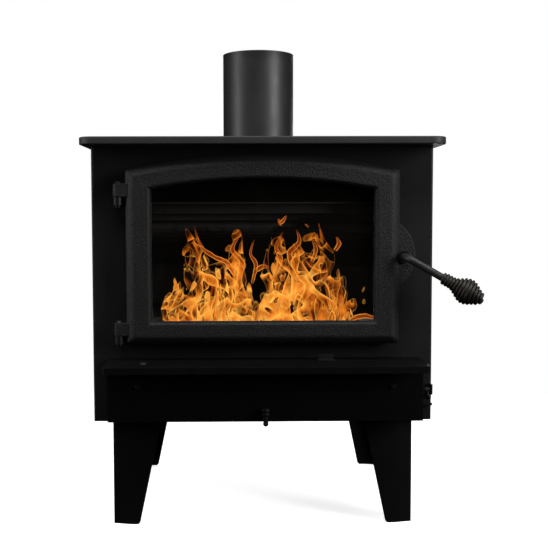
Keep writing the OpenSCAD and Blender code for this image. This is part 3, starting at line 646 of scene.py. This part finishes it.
def handle_rod():
    """One bar: straight through the ear, bent at the elbow, then out to the grip's tip."""
    bend = 0.016
    tip = HANDLE_LENGTH - 0.008
    shaft_steps, bend_steps, rod_steps = 6, 10, 12
    start = ELBOW + Vector((0, bend, 0))
    end = along_handle(bend)
    points = [Vector((SHAFT.x, blend(SHAFT_BACK, start.y, k / shaft_steps), SHAFT.z))
              for k in range(shaft_steps)]
    for k in range(bend_steps + 1):
        t = k / bend_steps
        points.append(start * (1 - t) ** 2 + ELBOW * 2 * t * (1 - t) + end * t * t)
    points += [along_handle(blend(bend, tip, k / rod_steps)) for k in range(1, rod_steps + 1)]
    obj = tube("handle_rod", points, lambda i: HANDLE_R, 20)
    return settle(soften(obj, 0.0012, 2, 60), "handle", "handle_steel", ("handle_shaft",))


def grip_radius(share):
    """The coil's outside radius: tight on the rod, swollen past its middle, closing in at its tip."""
    neck_share, neck_radius, swell = 0.2, 0.0115, 0.0124
    bulb = max(0.0, (share - neck_share) / (1 - neck_share))
    return neck_radius + swell * math.sin(math.pi * bulb) ** 2


def coil_grip():
    """Spring wire wound round the rod: tight turns that swell to a bulb, then curl in at the tip."""
    turns = 13
    per_turn = 36
    wire = 0.0031
    curl_share = 0.95
    curl_to = 0.30
    side = HANDLE_DIR.orthogonal().normalized()
    lift = HANDLE_DIR.cross(side)
    total = turns * per_turn
    points = []
    for i in range(total + 1):
        share = i / total
        radius = grip_radius(share) - wire
        if share > curl_share:
            radius *= blend(1.0, curl_to, ((share - curl_share) / (1 - curl_share)) ** 0.8)
        turn = 2 * math.pi * i / per_turn
        distance = blend(GRIP_START + wire, HANDLE_LENGTH - wire * 0.6, share)
        points.append(along_handle(distance) + (side * math.cos(turn) + lift * math.sin(turn)) * radius)

    def wire_at(i):
        """The wire's radius at point i, ground down to blunt ends."""
        end_share = 0.35
        return wire * min(1.0, end_share + i / 12, end_share + (total - i) / 8)

    return settle(tube("coil_grip_wire", points, wire_at, 12), "handle", "coil_steel", ("coil_grip",))


# ---------------------------------------------------------------- rope, pipe, flames

def rope_gasket():
    """Glass rope pressed into its groove: a round section with a slow three-strand twist."""
    middle_y = (ROPE_LOW.y + ROPE_HIGH.y) / 2
    half_width, half_depth = 0.0054, 0.0072
    inset, corner_r = 0.017, 0.020
    sides = 18
    path = [Vector((CENTRE_X + x, middle_y, z)) for x, z in door_outline(inset, inset, inset, corner_r, 90)]
    count = len(path)
    rings = []
    for i, point in enumerate(path):
        direction = (path[(i + 1) % count] - path[i - 1]).normalized()
        outward = direction.cross(Vector((0, 1, 0)))
        ring = []
        for k in range(sides):
            a = 2 * math.pi * k / sides
            weave = 1 + 0.07 * math.cos(3 * a + 2 * math.pi * i / 6) + 0.03 * math.cos(8 * a - i)
            ring.append(point + outward * (math.cos(a) * half_width * weave)
                        + Vector((0, math.sin(a) * half_depth * weave, 0)))
        rings.append(ring)
    bm = bmesh.new()
    bridge(bm, rings, close_rings=True)
    return settle(piece("door_rope", bm, 80), "door", "rope", ("door_rope_gasket",))


def side_panels():
    """Side plates with rounded outer corners, which catch the light down their whole height."""
    bend = 0.0042
    for node in ("left_side_panel", "right_side_panel"):
        low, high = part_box(node)
        outward = -1 if low.x < CENTRE_X else 1
        outer = low.x if outward < 0 else high.x
        inner = high.x if outward < 0 else low.x
        outline = [(inner, high.y), (inner, low.y)]
        for corner_y, start in ((low.y + bend, -90), (high.y - bend, 0)):
            for k in range(7):
                a = math.radians(start + 15 * k)
                outline.append((outer - outward * bend * (1 - math.cos(a)), corner_y + bend * math.sin(a)))
        panel = extruded(node + "_bent", outline, low.z, high.z, "z", 0.0004, 1)
        settle(panel, "stove", SLOT_OF[node], (node,))


def flue_pipe():
    """Rolled pipe with a rounded rim, a slightly swaged foot and a hemmed seam at the back."""
    low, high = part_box("flue_pipe")
    centre = Vector(((low.x + high.x) / 2, (low.y + high.y) / 2, 0))
    outer = (high.x - low.x) / 2
    wall = 0.002
    swage = 0.0004
    swage_top = low.z + 0.007
    rim = high.z - 0.002
    rim_round = 0.001
    half_turn = [math.pi * k / 6 for k in range(7)]
    profile = [(outer, low.z), (outer, low.z + 0.004), (outer - swage, swage_top)]
    profile += [(outer - swage, blend(swage_top, rim, k / 8)) for k in range(1, 9)]
    profile += [(outer - wall * (0.5 - 0.5 * math.cos(a)), high.z - rim_round + rim_round * math.sin(a))
                for a in half_turn]
    profile += [(outer - wall, blend(rim, low.z, k / 4)) for k in range(1, 5)]
    settle(lathe("flue_pipe_rolled", profile, centre, 128), "stove", "flue_paint", ("flue_pipe",))

    seam_half, seam_rise, seam_root = 0.006, 0.0012, 0.004
    seam = [(seam_half * math.cos(a), outer - seam_rise + seam_rise * math.sin(a))
            for a in (math.pi * k / 8 for k in range(9))]
    seam += [(-seam_half, outer - seam_root), (seam_half, outer - seam_root)]
    outline = [(centre.x + x, centre.y + y) for x, y in seam]
    strip = extruded("flue_pipe_seam", outline, low.z + 0.004, high.z - 0.003, "z", 0.0003, 1)
    settle(strip, "stove", "flue_paint")


# The fire's height above the hearth, by which it has turned its deepest red.
FLAME_TOP = 0.19

# Outlines of the fire from left to right: distance from the stove's centre and height above the hearth.
LEFT_HEAP = ((-0.200, -0.044), (-0.174, 0.042), (-0.160, 0.046), (-0.140, 0.108), (-0.112, 0.118),
             (-0.085, 0.096), (-0.062, 0.128), (-0.046, 0.146), (-0.030, 0.066), (-0.014, 0.036),
             (-0.002, 0.010))
RIGHT_HEAP = ((-0.012, 0.006), (0.006, 0.060), (0.030, 0.122), (0.052, 0.112), (0.075, 0.134),
              (0.096, 0.142), (0.120, 0.116), (0.146, 0.092), (0.165, 0.036), (0.180, -0.050))
LOW_FRINGE = ((-0.188, -0.050), (-0.165, 0.016), (-0.120, 0.036), (-0.040, 0.026), (0.020, 0.032),
              (0.090, 0.040), (0.150, 0.022), (0.185, 0.008), (0.215, -0.040))

# Loose licks over the heaps: half-width, then their curve from the bottom up, as x and height.
WISPS = (
    (0.0055, ((-0.050, 0.085), (-0.066, 0.112), (-0.092, 0.126), (-0.116, 0.146), (-0.128, 0.186))),
    (0.0075, ((-0.048, 0.080), (-0.038, 0.112), (-0.056, 0.138), (-0.040, 0.168))),
    (0.0045, ((-0.020, 0.070), (-0.012, 0.108), (-0.022, 0.130), (-0.014, 0.158))),
    (0.0060, ((-0.012, 0.098), (0.000, 0.106), (0.014, 0.104))),
    (0.0060, ((0.022, 0.085), (0.034, 0.118), (0.026, 0.142), (0.040, 0.172))),
    (0.0070, ((0.060, 0.100), (0.052, 0.130), (0.070, 0.152), (0.064, 0.176))),
    (0.0050, ((0.092, 0.112), (0.100, 0.138), (0.092, 0.156))),
    (0.0055, ((0.136, 0.134), (0.144, 0.148), (0.138, 0.162))),
    (0.0050, ((0.032, 0.186), (0.040, 0.192), (0.046, 0.202))),
    (0.0060, ((0.160, 0.002), (0.185, 0.012), (0.205, 0.010), (0.224, 0.003))),
)


def outline_height(points, x):
    """Height of an outline at x, with its corners eased."""
    for (x0, h0), (x1, h1) in zip(points, points[1:]):
        if x <= x1:
            t = max(0.0, min(1.0, (x - x0) / (x1 - x0)))
            return blend(h0, h1, t * t * (3 - 2 * t))
    return points[-1][1]


def flame_sheet(bm, layers, outline, y, share, seed):
    """A rippled sheet that stands behind the glass and carries one layer of fire.

    Each of its points holds the sheet's seed and how high the fire reaches there. Faces more than
    a tongue's length above that height are left out.
    """
    seeds, reaches = layers
    columns, rows, tall = 40, 24, 0.205
    tongue = 0.075
    spare = 0.006
    left, right = outline[0][0] - spare, outline[-1][0] + spare
    grid = []
    for c in range(columns + 1):
        x = blend(left, right, c / columns)
        line = []
        for r in range(rows + 1):
            z = tall * r / rows
            ripple = 0.004 * math.sin(x * 46 + seed * 5) + 0.002 * math.sin(z * 60 + x * 30 + seed)
            v = bm.verts.new((CENTRE_X + x, FACE_Y + y + ripple, HEARTH_Z + 0.001 + z))
            v[seeds] = seed
            v[reaches] = outline_height(outline, x) * share
            line.append(v)
        grid.append(line)
    for c in range(columns):
        top = max(grid[c][0][reaches], grid[c + 1][0][reaches]) + tongue
        for r in range(rows):
            if tall * r / rows < top:
                bm.faces.new((grid[c][r], grid[c + 1][r], grid[c + 1][r + 1], grid[c][r + 1]))
    bmesh.ops.delete(bm, geom=[v for v in bm.verts if not v.link_faces], context="VERTS")


def curve_point(points, share):
    """A place on the smooth curve through some points, at a share of its length."""
    last = len(points) - 1
    i = min(int(share * last), last - 1)
    t = share * last - i
    before = Vector(points[max(i - 1, 0)])
    start, end = Vector(points[i]), Vector(points[i + 1])
    after = Vector(points[min(i + 2, last)])
    return 0.5 * (2 * start + (end - before) * t + (2 * before - 5 * start + 4 * end - after) * t ** 2
                  + (3 * start - before - 3 * end + after) * t ** 3)


def wisps():
    """Ribbons that curl up from the heaps, widest a third of the way along."""
    MATERIALS["wisps"] = wisp_glow("wisps")
    bm = bmesh.new()
    across = bm.verts.layers.float.new("wisp_across")
    along = bm.verts.layers.float.new("wisp_along")
    steps, lanes = 28, 6
    nearest, spacing = 0.018, 0.008
    for number, (half_width, points) in enumerate(WISPS):
        grid = []
        for i in range(steps + 1):
            share = i / steps
            here = curve_point(points, share)
            onward = curve_point(points, min(share + 0.02, 1)) - curve_point(points, max(share - 0.02, 0))
            side = Vector((onward.y, -onward.x)).normalized()
            width = half_width * math.sin(math.pi * share ** 0.6) + 0.0004
            row = []
            for lane in range(lanes + 1):
                u = 2 * lane / lanes - 1
                spot = here + side * u * width
                depth = nearest + spacing * (number % 3) + 0.003 * u * u
                v = bm.verts.new((CENTRE_X + spot.x, FACE_Y + depth, HEARTH_Z + spot.y))
                v[across] = u
                v[along] = share
                row.append(v)
            grid.append(row)
        for first, second in zip(grid, grid[1:]):
            for lane in range(lanes):
                bm.faces.new((first[lane], first[lane + 1], second[lane + 1], second[lane]))
    add_fire_piece("fire_wisps", bm, "wisps")


def add_fire_piece(name, bm, material):
    """Adds a see-through piece of the fire to the stove; it stands for no CAD node."""
    mesh = bpy.data.meshes.new(name)
    bm.to_mesh(mesh)
    bm.free()
    obj = bpy.data.objects.new(name, mesh)
    SCENE.collection.objects.link(obj)
    obj.data.materials.append(MATERIALS[material])
    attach(obj, "stove")


def fire():
    """Two heaps of flame behind the glass over a low fringe, each of several sheets in depth."""
    MATERIALS["flames"] = flame_glow("flames")
    bm = bmesh.new()
    layers = (bm.verts.layers.float.new("flame_seed"), bm.verts.layers.float.new("flame_reach"))
    for outline, depths in ((LEFT_HEAP, (0.022, 0.036, 0.048)), (RIGHT_HEAP, (0.024, 0.038, 0.050)),
                            (LOW_FRINGE, (0.015,))):
        for i, depth in enumerate(depths):
            flame_sheet(bm, layers, outline, depth, 1.0 - 0.08 * i, 1.7 * i + depth * 90)
    add_fire_piece("fire_flames", bm, "flames")
    wisps()


# ---------------------------------------------------------------- studio

def floor_material():
    """A plain pale floor: it takes a soft shadow near the feet and melts into the backdrop farther out."""
    s = Shader("studio_floor")
    tone = s.mix(s.noise(1.2, 3), (0.80, 0.80, 0.79, 1), (0.84, 0.84, 0.83, 1))
    rays = s.add("ShaderNodeLightPath")
    seen = s.add("ShaderNodeBsdfDiffuse", {"Color": tone})
    lift = s.add("ShaderNodeEmission", {"Color": (1, 1, 1, 1), "Strength": 0.80})
    near = s.add("ShaderNodeAddShader", {0: seen.outputs[0], 1: lift.outputs[0]})
    white = s.add("ShaderNodeEmission", {"Color": (1, 1, 1, 1), "Strength": 1.0})
    away = s.add("ShaderNodeVectorMath", {0: s.place()}, operation="LENGTH").outputs["Value"]
    fade_start, fade_end = 0.7, 1.5
    fade = s.remap(away, fade_start, fade_end, smooth=True)
    pale = s.add("ShaderNodeMixShader", {0: fade, 1: near.outputs[0], 2: white.outputs[0]})
    dim = s.add("ShaderNodeBsdfDiffuse", {"Color": (0.02, 0.02, 0.02, 1)})
    seen_ray = rays.outputs["Is Camera Ray"]
    both = s.add("ShaderNodeMixShader", {0: seen_ray, 1: dim.outputs[0], 2: pale.outputs[0]})
    s.feed(s.output.inputs["Surface"], both.outputs[0])
    return s.material


def add_floor():
    """A wide floor under the stove's feet."""
    bm = bmesh.new()
    bmesh.ops.create_grid(bm, x_segments=4, y_segments=4, size=30)
    floor = piece("studio_floor", bm)
    floor.location.z = CAD_BOX[0][2]
    floor.data.materials.append(floor_material())


def add_world():
    """White to the eye all round; for light, a dim room with a brighter ceiling."""
    world = bpy.data.worlds.new("studio")
    SCENE.world = world
    world.use_nodes = True
    tree = world.node_tree
    tree.nodes.clear()
    make = tree.nodes.new
    rays = make("ShaderNodeLightPath")
    coords = make("ShaderNodeTexCoord")
    parts = make("ShaderNodeSeparateXYZ")
    ceiling = make("ShaderNodeMapRange")
    ceiling.inputs["From Min"].default_value = -0.1
    ceiling.inputs["To Min"].default_value = 0.0
    ceiling.inputs["To Max"].default_value = 0.12
    seen = make("ShaderNodeBackground")
    seen.inputs["Color"].default_value = (1, 1, 1, 1)
    room = make("ShaderNodeBackground")
    mixed = make("ShaderNodeMixShader")
    output = make("ShaderNodeOutputWorld")
    link = tree.links.new
    link(coords.outputs["Generated"], parts.inputs[0])
    link(parts.outputs[2], ceiling.inputs["Value"])
    link(ceiling.outputs[0], room.inputs["Strength"])
    link(rays.outputs["Is Camera Ray"], mixed.inputs[0])
    link(room.outputs[0], mixed.inputs[1])
    link(seen.outputs[0], mixed.inputs[2])
    link(mixed.outputs[0], output.inputs["Surface"])


def softbox(name, place, target, size, power):
    """A rectangular area light at a place, turned toward its target."""
    lamp = bpy.data.lights.new(name, "AREA")
    lamp.shape = "RECTANGLE"
    lamp.size, lamp.size_y = size
    lamp.energy = power
    obj = bpy.data.objects.new(name, lamp)
    obj.location = place
    obj.rotation_euler = (Vector(target) - Vector(place)).to_track_quat("-Z", "Y").to_euler()
    SCENE.collection.objects.link(obj)


def add_lights():
    """A key light overhead, one softbox at each side, a low one behind and a wide wash for the floor."""
    heart = (CENTRE_X, 0, 0.5)
    softbox("key_overhead", (0.1, -1.1, 2.5), heart, (2.4, 0.7), 50)
    softbox("left_softbox", (-2.3, -0.6, 1.0), heart, (0.7, 1.3), 24)
    softbox("right_softbox", (2.1, -1.5, 1.2), heart, (0.8, 1.3), 50)
    softbox("back_softbox", (0.9, 2.8, 0.62), heart, (1.6, 0.5), 26)
    softbox("floor_wash", (0, 0.4, 3.4), (0, 0, 0), (5.0, 4.0), 60)


def add_camera():
    """In front of the stove, a little left of its centre, level with the upper part of the glass."""
    camera = bpy.data.cameras.new("front_camera")
    camera.lens = 62.4
    camera.sensor_width = 36
    camera.shift_x = 0.0407
    camera.shift_y = -0.0019
    obj = bpy.data.objects.new("front_camera", camera)
    eye_left, eye_away, eye_height = 0.046, 1.6926, 0.5887
    eye = Vector((CENTRE_X - eye_left, PLATE_LOW.y - eye_away, eye_height))
    yaw, pitch, roll = 0.0146, 0.0641, -0.0026
    turn = Matrix.Rotation(-yaw, 4, "Z") @ Matrix.Rotation(math.pi / 2 - pitch, 4, "X")
    obj.matrix_world = Matrix.Translation(eye) @ turn @ Matrix.Rotation(roll, 4, "Z")
    SCENE.collection.objects.link(obj)
    SCENE.camera = obj


# ---------------------------------------------------------------- the whole stove

# How wide the rounding of each CAD piece's edges is.
EDGE_WIDTHS = {
    "top_plate": 0.0022, "ash_shelf": 0.0014, "front_panel": 0.0003, "back_panel": 0.0010,
    "bottom_panel": 0.0008, "lower_box": 0.0014, "access_cover": 0.0008,
    "front_left_leg": 0.0015, "front_right_leg": 0.0015, "rear_left_leg": 0.0015, "rear_right_leg": 0.0015,
    "upper_hinge_bracket": 0.0022, "lower_hinge_bracket": 0.0022,
    "upper_hinge_pin": 0.0008, "lower_hinge_pin": 0.0008, "latch_catch": 0.0006,
    "lever_bracket": 0.0006, "lever_rail": 0.0008, "shelf_slider": 0.0007, "slider_plate": 0.0005,
    "air_wash_bar": 0.0006, "baffle_board": 0.0015, "glass_clips": 0.0004,
    "cam_nut": 0.0005, "latch_cam": 0.0005, "leg_bolts": 0.0005, "cover_screws": 0.0008,
    "clip_screws": 0.0005, "handle_bushing": 0.0010, "air_gate": 0.0005, "air_duct": 0.0010,
    "door_glass": 0.0008,
}
BRICK_EDGE = 0.0022
BRICK_NODES = ("floor_firebricks", "left_firebricks", "right_firebricks", "back_firebricks")


def build():
    """Every CAD node gets its material, then finer pieces take the place of those that the eye rests on."""
    for node, obj in NODES.items():
        obj.data.materials.clear()
        obj.data.materials.append(MATERIALS[SLOT_OF[node]])
    for node, width in EDGE_WIDTHS.items():
        softened_node(node, width)
    for node in BRICK_NODES:
        softened_node(node, BRICK_EDGE)
    door_casting()
    latch_ear()
    hinge_lugs()
    handle_rod()
    coil_grip()
    rope_gasket()
    side_panels()
    flue_pipe()
    fire()


SCENE.view_settings.view_transform = "Standard"
add_camera()
add_world()
add_lights()
add_floor()
build()
